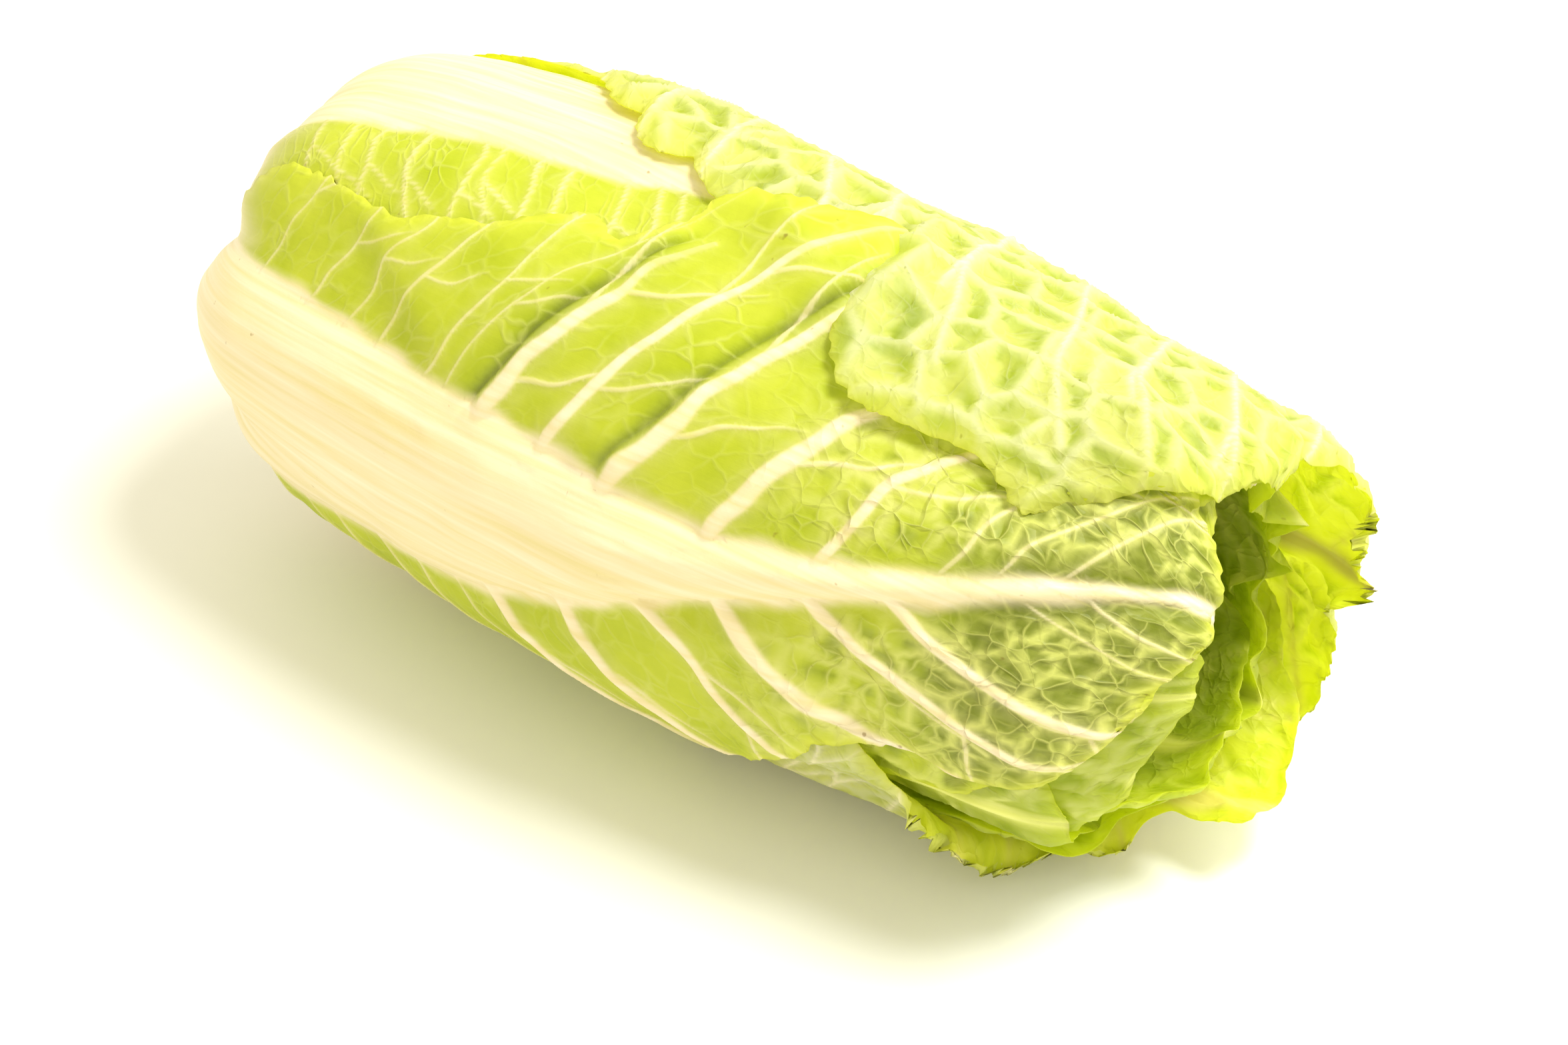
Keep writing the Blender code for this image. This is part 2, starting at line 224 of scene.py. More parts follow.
class Chart:
    """The head's outside: x, radius and slope at every step of s and theta, and the pile of leaves on it."""

    def __init__(self):
        self.s = np.arange(0, CHART_LENGTH + CHART_S / 2, CHART_S)
        self.theta = np.arange(0, 360, CHART_THETA)
        start, full, fading, end = OPEN_SIDE
        opening = smooth_step((self.theta - start) / (full - start))
        opening = opening * smooth_step((end - self.theta) / (end - fading))
        folded = profile_of(OUTLINE, self.s)[:, None]
        standing = np.radians(folded + opening * np.maximum(0, OPEN_SLOPE - folded))
        self.standing = self.run_out(standing)
        self.folded = self.run_out(np.radians(folded + 0 * opening))
        self.x, self.radius, self.slope = self.standing
        s, theta = np.meshgrid(self.s, self.theta, indexing="ij")
        self.points = np.stack([s.ravel(), theta.ravel()], 1)
        self.top = np.zeros(self.x.shape)

    def run_out(self, slope):
        """x, radius and slope of an outside that starts at the butt and has this slope."""
        middle = (slope[1:] + slope[:-1]) / 2
        start_row = np.zeros((1, len(self.theta)))
        x = BUTT_X + np.cumsum(np.vstack([start_row, np.cos(middle) * CHART_S]), axis=0)
        radius = BUTT_RADIUS + np.cumsum(np.vstack([start_row, np.sin(middle) * CHART_S]), axis=0)
        return x, radius, slope

    def sample(self, field, s, theta):
        return between(field, s / CHART_S, theta / CHART_THETA)

    def shifted(self, field, ds, dtheta):
        rows = np.clip(np.arange(field.shape[0]) + ds, 0, field.shape[0] - 1)
        return np.roll(field[rows], dtheta, axis=1)

    def spread(self, field, reach):
        for _ in range(int(reach / CHART_S)):
            field = np.maximum.reduce([self.shifted(field, i, j) for i in (-1, 0, 1) for j in (-1, 0, 1)])
        return field

    def soften(self, field, reach):
        """Smooths a field over about that many millimetres."""
        return self.blur(field, max(1, int((reach / CHART_S) ** 2 / 2)))

    def blur(self, field, times):
        for _ in range(times):
            field = (self.shifted(field, -1, 0) + 2 * field + self.shifted(field, 1, 0)) / 4
            field = (self.shifted(field, 0, -1) + 2 * field + self.shifted(field, 0, 1)) / 4
        return field

    def level_off(self):
        """Moves the whole pile so that its top lies at the head's outline, and flattens its underside."""
        times = int((LEVEL_MM / CHART_S / LEVEL_STEPS) ** 2 / 2)
        coarse = self.blur(self.top[::LEVEL_STEPS, ::LEVEL_STEPS], times)
        s, theta = np.meshgrid(self.s, self.theta, indexing="ij")
        self.level = between(coarse, s / CHART_S / LEVEL_STEPS, theta / CHART_THETA / LEVEL_STEPS)
        radius = self.radius + np.cos(self.slope) * (self.top - self.level)
        lowest = AXIS_HEIGHT + radius * np.sin(np.radians(self.theta))
        self.lift = self.soften(np.maximum(0, -lowest), UNDERSIDE_MM)

    def place_within(self, s, theta, height, shares):
        """Points in metres on a heart leaf, which is the folded outside drawn in to a share of its size."""
        girth, length, start = shares
        x, radius, slope = (self.sample(field, s, 0 * theta) for field in self.folded)
        slope = np.arctan2(np.sin(slope) * girth, np.cos(slope) * length)
        tip = 8 * smooth_step((s - 320) / 30)  # the tips draw in by this much
        radius = np.maximum(radius - tip, 2) * girth + np.cos(slope) * height
        x = BUTT_X + start + (x - BUTT_X) * length - np.sin(slope) * height
        turn = np.radians(theta)
        return np.stack([x, -radius * np.cos(turn), AXIS_HEIGHT + radius * np.sin(turn)], -1) * MM

    def place(self, s, theta, height, stands=True, out_s=0, out_theta=0):
        """Points in metres at a height above the outline, moved along the surface by out_s and out_theta."""
        height = height - self.sample(self.level, s, theta)
        outside = self.standing if stands else self.folded
        x, radius, slope = (self.sample(field, s, theta) for field in outside)
        radius = np.maximum(radius, LEAST_RADIUS) + np.cos(slope) * height + np.sin(slope) * out_s
        x = x - np.sin(slope) * height + np.cos(slope) * out_s
        turn = np.radians(theta)
        y = -radius * np.cos(turn) + np.sin(turn) * out_theta
        z = AXIS_HEIGHT + radius * np.sin(turn) + np.cos(turn) * out_theta
        z = z + self.sample(self.lift, s, theta)
        return np.stack([x, y, np.maximum(z, CLEARANCE)], -1) * MM


# ---- the wrapping leaves on the flat chart, outermost first ----
# half the turn of a plain leaf's blade, and of its rib: s, degrees
HALF_TURN = [(0, 60), (40, 64), (80, 72), (150, 84), (235, 90), (280, 84), (300, 70), (318, 52), (340, 34)]
HALF_RIB = [(0, 34), (60, 30), (140, 22), (200, 9), (240, 4), (330, 1)]
TIP_ROUND = 26.0  # how far from its tip a leaf's margins start to round off


def rib_of(rib, tip, s):
    """theta of a rib that turns from its first to its second value on the way to the tip, late or evenly."""
    start, end, lateness = rib
    return start + (end - start) * (s / tip) ** lateness


def margin_line(rib, tip, width, lobes, way):
    """One margin from butt to tip.  A lobe is its middle's s, its reach along s, and the degrees it adds."""
    s = tip * np.sin(np.linspace(0, np.pi / 2, 110))
    turn = profile_of(HALF_TURN, s) * width
    for middle, reach, extra in lobes:
        turn = turn + extra * np.cos(np.clip((s - middle) / reach, -1, 1) * np.pi / 2) ** 2
    turn = turn * np.sqrt(1 - np.clip((s - tip + TIP_ROUND) / TIP_ROUND, 0, 1) ** 2)
    return np.stack([s, rib_of(rib, tip, s) + way * turn], 1)


def rib_edges(rib, tip, width):
    """The two edges of a rib, which narrows towards the tip."""
    s = np.linspace(0, tip, 60)
    middle = rib_of(rib, tip, s)
    half = width * profile_of(HALF_RIB, s)
    return [list(zip(s, middle + way * half)) for way in (-1, 1)]


def side_veins(rib, tip, seed, first=45, last=285, spacing=17, reach=62, bold=(0, 0), lean=(1.0, 1.0)):
    """Veins that leave a rib on both sides, bend towards the tip and fork.

    Those that leave it between the two ends of bold are thick and further apart.  lean is how far they run
    towards the tip on each side.  A vein is its line, its half width at both ends, and its height.
    """
    rng = np.random.default_rng(seed)
    veins = []
    for side, steep in zip((-1, 1), lean):
        s = first + rng.uniform(0, spacing)
        while s < last:
            start = profile_of(HALF_RIB, s) * 0.75
            is_bold = bold[0] < s < bold[1]
            thick = rng.uniform(1.8, 2.8) if is_bold else rng.uniform(0.45, 0.8)
            slant = steep * np.interp(s, (0, 150, 300), (0.6, 0.85, 1.2)) * rng.uniform(0.85, 1.15)
            turn = np.linspace(-3, reach * rng.uniform(0.7, 1.1), 8)
            sway = rng.uniform(-4, 4) * np.sin(turn / reach * 6) + rng.uniform(-1.5, 1.5, 8)
            along = s + slant * turn * (0.7 + 0.3 * turn / reach) + sway
            across = rib_of(rib, tip, np.minimum(along, tip)) + side * (start + turn)
            line = np.stack([along, across], 1)
            veins.append((line, thick, thick * 0.4, thick * 0.75))
            steps = 5 if is_bold else 3
            for knot, way in ((2, 1), (4, -1), (5, 1)) if is_bold else ((3, 1), (5, -1)):
                away = np.arange(steps)[:, None] * (5.5 + 3.0 * way, side * (5.5 - 2.5 * way))
                away = away + rng.uniform(-1.0, 1.0, (steps, 2))
                width, height = max(0.45, thick * 0.32), max(0.3, thick * 0.25)
                veins.append((line[knot] + away - away[0], width, 0.35, height))
            s += spacing * rng.uniform(0.7, 1.3) * (1.75 if is_bold else 1)
    return veins


PLAIN_LEAF = {
    "cell": 1.9,  # size of the mesh's cells in millimetres
    "finer": (),  # cells this near a vein are halved, and whether those this near the raised net are too
    "blade": 0.7,  # thickness in millimetres
    "rib_height": 5.0,
    "loose": 1.0,  # gap to the leaves beneath, against LEAF_GAP
    "stands": False,  # whether the tip stands open; otherwise it folds over the crown
    "tooth": 1.4,  # depth of the margin's teeth, and next of its broader lobes
    "scallop": 0.0,
    "ruffle": 0.0,  # height of the waves along the tip
    "curls": (),  # start and end as shares of the way round the margin, depth and radius of the roll
    "folded": 0,  # how many of its thick veins the blade rises steeply beside
    "net": (12.0, 1.2, 1.0, 90),  # raised net: size and stretch of its cells, its height, s where it starts
    "savoy": 0.4,  # strength of the puckered finish
    "crisp": 0.0,  # 1 where veins have a narrow crest on a broad foot
    "hollow": 1.0,  # how much painted shade, over some real deeper green, darkens the net's cells
    "tip_shade": (400, 0),  # s where the green turns deeper towards the tip, and how much
    "shares": None,  # of a heart leaf: girth and length against the head's, where its base lies from the butt
}


def wrapping(name, seed, rib, tip, width=0.95, left=(), right=(), rib_width=1.0, veins=(), **look):
    """The facts of one leaf.  left is its margin at lower theta and right the one at higher theta."""
    low = margin_line(rib, tip, width, left, -1)
    high = margin_line(rib, tip, width, right, 1)
    return {
        **PLAIN_LEAF, "name": name, "seed": seed, "outline": np.vstack([low, high[-2::-1]]),
        "rib_edges": rib_edges(rib, tip, rib_width), "veins": side_veins(rib, tip, seed, **dict(veins)),
        **look,
    }


def net_place(points, rib_edges):
    """Where each point lies in the finest net of veins, which runs outwards from the rib, in metres."""
    s, across = points[:, 0], points[:, 1]
    low, high = (profile_of(side, s) * GIRTH for side in rib_edges)
    side = np.where(across > (low + high) / 2, 1.0, -1.0)
    lean = np.radians(np.interp(s, (0, 140, 240, 340), (68, 56, 42, 30))) * side
    along = s * np.cos(lean) + across * np.sin(lean)
    beside = across * np.cos(lean) - s * np.sin(lean)
    return np.stack([along * 0.42, beside, 40 * side], 1) * MM


LEAVES = [
    wrapping(
        "outer_leaf_back", 3, (190, 186, 1), 333, 0.95,
        [(145, 50, 14), (192, 44, 20), (236, 44, 42), (285, 50, 54), (325, 40, 34)], [(180, 160, -26)],
        veins={"first": 60, "last": 320, "spacing": 24, "reach": 125, "lean": (0.5, 0.8)},
        stands=True, cell=1.7, finer=[(2.6, True)], ruffle=8.0, curls=[(0.43, 0.5, 12, -9.0)], loose=1.4,
        tooth=1.0, scallop=3.6, rib_height=5.5, net=(13.5, 1.2, 5.4, 60), savoy=0.45, crisp=1.0, hollow=0.9,
    ),
    wrapping(
        "outer_leaf_front", 5, (2, 60, 3), 336, 0.9, [(250, 80, -42)],
        [(12, 48, -20), (110, 80, -16), (158, 14, -10), (300, 70, -18)],
        veins={"first": 40, "last": 310, "spacing": 14, "reach": 66, "bold": (135, 262), "lean": (1.7, 1.0)},
        folded=2, cell=1.6, finer=[(2.2, False), (0.9, False)], tip_shade=(258, 1.0), tooth=1.5, scallop=1.4,
        rib_height=5.5, net=(9.5, 1.25, 0.5, 205), savoy=0.9, hollow=0.6,
    ),
    wrapping(
        "outer_leaf_top", 7, (105, 114, 1), 320, 0.95, [(75, 65, -18)],
        veins={"first": 40, "last": 280, "spacing": 11, "reach": 60, "lean": (0.7, 0.7)},
        finer=[(2.4, False)], tooth=1.6, net=(9.0, 1.4, 0.5, 160), savoy=0.0,
    ),
    wrapping(
        "outer_leaf_bottom", 9, (279, 262, 6), 332, 0.95, [], [(298, 62, -54)],
        veins={"first": 50, "last": 300, "spacing": 16, "reach": 70},
        stands=True, finer=[(2.4, False)], ruffle=3.0, curls=[(0.49, 0.575, 9, 4.5)], tooth=0.5, scallop=2.0,
        net=(12.0, 1.2, 3.2, 200), savoy=0.5, crisp=1.0, hollow=0.5,
    ),
    wrapping("outer_leaf_upper_front", 11, (57, 57, 1), 336, blade=0.8, ruffle=5.0, tooth=0.6,
             net=(12.0, 1.2, 1.8, 150)),
]
for number, (name, theta, tip, width, ruffle) in enumerate([
    ("inner_leaf_low_back", 235, 328, 0.9, 4.0), ("inner_leaf_low_front", 330, 305, 0.9, 4.0),
    ("inner_leaf_high_back", 150, 330, 0.9, 6.0), ("inner_leaf_front", 16, 344, 0.86, 6.0),
    ("inner_leaf_under", 262, 336, 0.84, 4.0),
]):
    LEAVES.append(wrapping(
        name, 20 + number, (theta, theta, 1), tip, width, rib_width=0.5, cell=2.3, blade=0.9, ruffle=ruffle,
        tooth=0.5, net=(12.0, 1.2, 2.2, 150),
    ))

HEART_COUNT = 8
HEART_TURN = 137.5  # degrees round from one heart leaf to the next
HEART = []
for number in range(HEART_COUNT):
    theta = 65 + HEART_TURN * number
    HEART.append(wrapping(
        f"heart_leaf_{number + 1}", 40 + number, (theta, theta, 1), 350 - 3 * (number % 3), 1.2,
        cell=2.6, blade=0.8, loose=0.0, tooth=1.6, rib_height=2.0, net=(11.0, 1.2, 1.6, 120), savoy=0.6,
        shares=(0.555 - 0.051 * number, 0.86 - 0.04 * number, 26 + 5.0 * number),
    ))


def toothed(line, depth, scallop, seed):
    """A closed line with small irregular teeth and broader scallops along it, except near the butt."""
    run = np.concatenate([[0], np.cumsum(np.hypot(*np.diff(line, axis=0).T))])
    at = np.arange(0, run[-1], 0.8)
    p = np.stack([np.interp(at, run, line[:, 0]), np.interp(at, run, line[:, 1])], 1)
    ahead = np.roll(p, -2, axis=0) - np.roll(p, 2, axis=0)
    out = np.stack([ahead[:, 1], -ahead[:, 0]], 1) / (np.hypot(*ahead.T)[:, None] + 1e-9)
    where = np.stack([at, np.zeros_like(at)], 1)
    phase = at / 5.6 + 1.6 * noise(where, 23, seed) + 0.5 * noise(where, 9, seed + 1)
    tooth = 1 - np.abs(2 * (phase % 1) - 1)
    size = depth * (0.85 + 0.75 * noise(where, 17, seed + 2)) * smooth_step((p[:, 0] - 22) / 25)
    lobes = 2 * np.abs(np.sin(np.pi * at / 36 + 2 * noise(where, 60, seed + 5))) - 1
    lobes = scallop * lobes * (0.7 + 0.3 * noise(where, 40, seed + 6))
    wave = 0.9 * depth * noise(where, 30, seed + 3) + lobes
    wave = wave * smooth_step((p[:, 0] - 60) / 60)
    ragged = 0.45 * depth * noise(where, 2.3, seed + 4) * (size > 0.2)
    p = p + out * ((tooth - 0.4) * size + wave + ragged)[:, None]
    return np.vstack([p, p[:1]])


class Leaf:
    """One wrapping leaf on the flat chart: its outline, rib, veins and the lie of its surface."""

    def __init__(self, facts):
        sizes = bpy.context.scene.cabbage_leaves
        vars(self).update(facts)
        self.blade *= sizes.thickness
        self.rib_height *= sizes.rib_height
        self.ruffle *= sizes.ruffle
        size, stretch, height, start = self.net
        self.net = (size, stretch, height * sizes.relief, start)
        self.margin = flowing(flat(np.vstack([self.outline, self.outline[:1]])), 2.0)
        self.margin_length = np.hypot(*np.diff(self.margin, axis=0).T).sum()
        self.outline = toothed(self.margin, self.tooth * sizes.teeth, self.scallop, self.seed)
        self.veins = [(flowing(flat(line), 3.0), *shape) for line, *shape in self.veins]
        thick_ones = [line for line, half, *_ in self.veins if half > 2.0 and line[-1, 1] > line[0, 1]]
        # beside some thick veins: how high the blade rises, and its reach on the vein's right and left
        self.folds = [(line + (-3, 4), 2.2, 4.0, 9.0) for line in thick_ones[:self.folded]]
        self.middle = (self.outline[:, 1].min() + self.outline[:, 1].max()) / 2

    def wave(self, points, size, number):
        """One of this leaf's own random waves."""
        return noise(points, size, self.seed + number)

    def surface(self, points):
        """How the leaf lies at points of the chart: heights in millimetres, and what its finish follows."""
        s, theta = points[:, 0], points[:, 1] / GIRTH
        edge = np.abs(from_line(self.outline, points, EDGE_REACH)[0])
        low, high = (profile_of(side, s) for side in self.rib_edges)
        half = np.maximum((high - low) / 2, 0.1)
        off_middle = theta - (low + high) / 2
        across = np.abs(off_middle) / half
        beside = (across - 1) * half * GIRTH
        fade = smooth_step((300 - s) / 120) * 0.7 + 0.3
        rib = np.clip(1 - across**2, 0, 1) ** 0.75 * self.rib_height * fade
        rib = np.minimum(rib, half * GIRTH * 0.8)
        along = np.stack([s / 13, off_middle * GIRTH / np.maximum(half / 30, 0.4)], 1)
        on_rib = smooth_step(1.2 - beside / 6) * smooth_step((half - 3) / 8)
        rib = rib + on_rib * (0.45 * self.wave(along, 7, 31) + 0.25 * self.wave(along, 3, 32))
        pale = smooth_step(0.9 - beside / 5 + 0.35 * self.wave(points, 9, 30))
        pale = np.maximum(pale, smooth_step((58 - s) / 40 + 0.15 * self.wave(points, 12, 35)))
        ridge = np.zeros(len(points))
        vein_gap = np.full(len(points), float(VEIN_REACH))
        crease_gap = vein_gap.copy()
        sway = [self.wave(points, 10, 33), self.wave(points, 10, 34)]
        swayed = points + 0.9 * np.stack(sway, 1) * smooth_step(beside / 10)[:, None]
        for line, start, end, height in self.veins:
            away, share = from_line(line, swayed, VEIN_REACH)[:2]
            away = np.abs(away)
            width = start + (end - start) * share
            tall = height * (width / start) ** 0.7
            bold = min(1, 0.4 + 0.3 * start) * (0.35 + 0.65 * smooth_step((1 - share) / 0.4))
            crest = np.exp(-((away / (width * 1.1)) ** 2)) * (1 - 0.5 * self.crisp)
            ridge = np.maximum(ridge, tall * (crest + 0.5 * self.crisp * np.exp(-away / 2.8)))
            pale = np.maximum(pale, bold * smooth_step(1.7 - 1.2 * away / width))
            pale = np.maximum(pale, 0.45 * bold * np.exp(-away / (1.0 + width)))
            vein_gap = np.minimum(vein_gap, away)
            crease_gap = np.minimum(crease_gap, np.abs(away - 0.9 * width))
        # painted shade: crease_shade deepens the green in the groove beside each fold
        crease_shade = np.zeros(len(points))
        lift = np.zeros(len(points))
        for line, height, right, left in self.folds:
            away, share = from_line(line, points, FOLD_REACH)[:2]
            crease_gap = np.minimum(crease_gap, np.abs(away))
            ends = smooth_step(share / 0.15) * smooth_step((1 - share) / 0.15)
            reach = np.where(away > 0, left, right)
            away = np.abs(away)
            rise = height * ends * np.exp(-away / reach)
            lift = np.maximum(lift, rise * (1 - np.exp(-((away / 1.3) ** 2))))
            crease_shade = np.maximum(crease_shade, ends * np.exp(-away / 2.0))
        size, stretch, depth, net_start = self.net
        warped = points + 2.2 * np.stack([self.wave(points, 14, 40), self.wave(points, 14, 41)], 1)
        border, shade = cells(warped, size, stretch, self.seed + 50)
        border = np.minimum(border, vein_gap)
        on_blade = smooth_step(beside / 12)
        savoy = on_blade * smooth_step((s - net_start) / 50)
        broad = np.exp(-border / (size * 0.2)) * (0.7 + 0.5 * self.wave(points, 31, 42))
        small, _ = cells(warped + 31, size * 0.52, stretch, self.seed + 55)
        minor = 0.35 * np.exp(-small / (size * 0.12)) * smooth_step(border / 2)
        net_ridge = depth * savoy * (broad + minor * (0.6 + 0.6 * self.wave(points, 19, 43)))
        # painted shade, over some real deeper green: the cells darken towards their sunken middles
        pit_shade = smooth_step((border - 0.6) / 2.2) * smooth_step(0.25 + 1.5 * self.wave(warped, 5.5, 44))
        if self.crisp:  # painted shade on each ridge's side away from the tip and the top, where the light leaves the hollows in shade, over their real deeper green
            ahead = cells(warped + (1.0, 1.3), size, stretch, self.seed + 50)[0]
            pit_shade = smooth_step(0.35 + (border - np.minimum(ahead, vein_gap + 1)))
            pit_shade = pit_shade * smooth_step((border - 0.3) / 1.4) * smooth_step((6.5 - border) / 3.5)
            pit_shade = pit_shade * (0.7 + 0.5 * self.wave(points, 9, 44))
        blister = lift + 1.6 * on_blade * (0.5 + 0.5 * self.wave(points, 34, 60))
        blister += 0.5 * on_blade * (0.5 + 0.5 * self.wave(points, 12, 61))
        ripple = smooth_step((s - 35) / 40) * np.exp(-edge / 3.5)
        blister += ripple * (0.3 + 0.8 * (0.5 + 0.5 * self.wave(points, 7, 62)))
        thick = self.blade * (0.35 + 0.65 * smooth_step(edge / 5))
        line = np.clip(1.2 * np.exp(-((border / (size * 0.1)) ** 1.8)) + 0.9 * minor, 0, 1)
        open_tip = smooth_step((s - OPEN_TIP) / 25) * self.stands
        shade_start, tip_shade = self.tip_shade
        # deeper green: the leaf's own towards the tip, with painted shade in the creases and the net's cells
        deeper_green_and_shade = 0.8 * crease_shade + tip_shade * smooth_step((s - shade_start) / 35)
        return {
            "blister": blister,
            "relief": thick + np.maximum(rib, np.maximum(ridge, net_ridge)) * smooth_step(edge / 4 + 0.1),
            "pale": pale,
            "ridge": line * savoy,
            "deeper_green_and_shade": np.clip(deeper_green_and_shade + self.hollow * savoy * (shade * 0.15 + 0.8 * pit_shade), 0, 1),
            "follow": open_tip,
            "thick": thick,
            "crease_gap": crease_gap,
            "net_gap": np.where(savoy > 0.3, border, float(VEIN_REACH)),
            # a paler margin band, widened at the open tips as a painted highlight where their rolled lips
            # catch the light
            "edge": np.exp(-edge / (2.5 + 4.5 * open_tip)),
            "savoy": savoy * self.savoy,
        }

    def stray(self, points):
        """How ruffles and curls near the margin move the leaf: outwards, and along s and theta."""
        out = np.zeros(len(points))
        move = np.zeros_like(points)
        inset, share, _, right = from_line(self.margin, points, CURL_REACH)
        inset = np.where(self.covers(points), np.abs(inset), -np.abs(inset))
        run = share * self.margin_length
        loose = smooth_step((points[:, 0] - (OPEN_TIP + 6)) / 30) * self.ruffle
        along = np.stack([run, 0 * run], 1)
        wave = self.wave(along, 19, 70) + 0.3 * self.wave(along, 9, 72)
        fading = np.exp(-np.maximum(inset, 0) / 13)
        out += loose * wave * fading
        move += right * (0.45 * loose * self.wave(along, 17, 73) * fading)[:, None]
        for start, end, depth, radius in self.curls:
            blend = smooth_step((share - start) * self.margin_length / 15)
            blend *= smooth_step((end - share) * self.margin_length / 15)
            bent = np.maximum(depth - inset, 0)
            turn = blend / radius * (1 + 0.2 * self.wave(np.stack([run, run], 1), 17, 71))
            turn = np.where(blend > 1e-3, turn, 1e-6)
            out += (1 - np.cos(turn * bent)) / turn
            move += right * (np.sin(turn * bent) / turn - bent)[:, None]
        return out, move[:, 0], move[:, 1]

    def covers(self, points):
        return inside(self.outline, points)


def lay_head():
    """Lays the leaves over one another from the inside out."""
    chart = Chart()
    leaves = {facts["name"]: Leaf(facts) for facts in LEAVES}
    for leaf in leaves.values():
        theta = (chart.points[:, 1] - leaf.middle / GIRTH + 180) % 360 - 180 + leaf.middle / GIRTH
        flat_points = np.stack([chart.points[:, 0], theta * GIRTH], 1)
        leaf.within = np.zeros(len(flat_points), bool)
        low, high = leaf.outline.min(0), leaf.outline.max(0)
        near = np.flatnonzero((flat_points >= low).all(1) & (flat_points <= high).all(1))
        near = near[leaf.covers(flat_points[near])]
        leaf.within[near] = True
        leaf.laid = near
        lie = leaf.surface(flat_points[near])
        leaf.build_up = lie["blister"] + lie["relief"]
    order = list(reversed(leaves.values()))
    back = leaves["outer_leaf_back"]
    front = leaves["outer_leaf_front"]
    order.insert(order.index(front), back)
    under_front = chart.s[:, None] < UNDER_FRONT
    for leaf in order:
        first_pass = leaf is back and not hasattr(back, "under")
        draped = chart.soften(chart.spread(chart.top, SPREAD_MM), SOFTEN_MM)
        under = np.maximum(draped, chart.spread(chart.top, CHART_S)) + LEAF_GAP * leaf.loose
        if leaf is back and not first_pass:
            blend = smooth_step((chart.s[:, None] - COMES_OVER) / COMES_OVER_MM)
            under = back.under * (1 - blend) + under * blend
        leaf.under = chart.soften(under, SETTLE_MM)
        over = leaf.under.ravel().copy()
        over[leaf.laid] += leaf.build_up
        within = leaf.within.reshape(chart.top.shape)
        if first_pass:
            within = within & under_front
        elif leaf is back:
            within = within & ~(under_front & front.within.reshape(chart.top.shape))
        chart.top = np.where(within, over.reshape(chart.top.shape), chart.top)
    chart.level_off()
    return chart, leaves


# ---- making meshes ----
def whole_cells(within):
    """Drops cells of a grid that hang on by a corner or a single side."""
    within = within.copy()
    for _ in range(6):
        wide = np.pad(within, 1).astype(int)
        beside = wide[:-2, 1:-1] + wide[2:, 1:-1] + wide[1:-1, :-2] + wide[1:-1, 2:]
        within &= beside >= 2
        a, b, c, d = within[:-1, :-1], within[:-1, 1:], within[1:, :-1], within[1:, 1:]
        falling = a & d & ~b & ~c
        rising = b & c & ~a & ~d
        within[:-1, :-1] &= ~falling
        within[:-1, 1:] &= ~rising
    return within


def trimmed_slab(outline, cell):
    """A flat slab of square cells cut to a closed outline, its two skins at z = 0 and z = 1."""
    low, high = outline.min(0) - cell, outline.max(0) + cell
    rows, columns = np.ceil((high - low) / cell).astype(int)
    bm = bmesh.new()
    bmesh.ops.create_grid(bm, x_segments=rows, y_segments=columns, size=0.5)
    size = Matrix.Diagonal((*(high - low), 1, 1))
    bmesh.ops.transform(bm, matrix=Matrix.Translation((*(low + high) / 2, 0)) @ size, verts=bm.verts)
    centres = np.array([f.calc_center_median()[:2] for f in bm.faces])
    place = np.round((centres - low) / (high - low) * (rows, columns) - 0.5).astype(int)
    within = np.zeros((rows, columns), bool)
    within[place[:, 0], place[:, 1]] = inside(outline, centres)
    within = whole_cells(within)
    spare = [f for f, (i, j) in zip(bm.faces, place) if not within[i, j]]
    bmesh.ops.delete(bm, geom=spare, context="FACES")
    rim = [v for v in bm.verts if v.is_boundary]
    at = np.array([v.co[:2] for v in rim])
    away, _, foot, _ = from_line(outline, at, cell * 0.85)
    for vert, point in zip(rim, np.where(np.abs(away)[:, None] < cell * 0.84, foot, at)):
        vert.co.xy = point
    upper = bmesh.ops.extrude_face_region(bm, geom=bm.faces[:])
    raised = [v for v in upper["geom"] if isinstance(v, bmesh.types.BMVert)]
    bmesh.ops.translate(bm, verts=raised, vec=(0, 0, 1))
    bm.normal_update()
    bmesh.ops.recalc_face_normals(bm, faces=bm.faces)
    return bm


def finished_piece(bm, name, material):
    """Makes a bmesh a piece that rides on the head and carries one material."""
    mesh = bpy.data.meshes.new(name)
    bm.to_mesh(mesh)
    bm.free()
    mesh.shade_smooth()
    mesh.materials.append(material)
    piece = bpy.data.objects.new(name, mesh)
    bpy.context.collection.objects.link(piece)
    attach(piece, "root")
    return piece


def mark(mesh, name, values):
    """Stores one number per point for the material to follow."""
    layer = mesh.attributes.new(name, "FLOAT", "POINT")
    layer.data.foreach_set("value", np.asarray(values, np.float32))


def unwrap(mesh, flat_metres):
    """Lays the piece's own UV map out in metres."""
    corner = np.empty(len(mesh.loops), np.int32)
    mesh.loops.foreach_get("vertex_index", corner)
    layer = mesh.uv_layers.new(name="leaf")
    layer.data.foreach_set("uv", flat_metres[corner].astype(np.float32).ravel())


HEAD = {}


def laid_head():
    if not HEAD:
        HEAD["chart"], HEAD["leaves"] = lay_head()
        HEAD["leaves"].update({facts["name"]: Leaf(facts) for facts in HEART})
    return HEAD["chart"], HEAD["leaves"]


def refine(bm, leaf):
    """Halves the upper skin's cells near veins, and where asked near the raised net, to make them crisp."""
    for reach, with_net in leaf.finer:
        upper = [v for v in bm.verts if v.co.z > 0.5]
        lie = leaf.surface(np.array([v.co[:2] for v in upper]))
        gap = np.minimum(lie["crease_gap"], lie["net_gap"]) if with_net else lie["crease_gap"]
        near = {v for v, away in zip(upper, gap) if away < reach}
        edges = [e for e in bm.edges if e.verts[0] in near and e.verts[1] in near]
        bmesh.ops.subdivide_edges(bm, edges=edges, cuts=1, use_grid_fill=True)


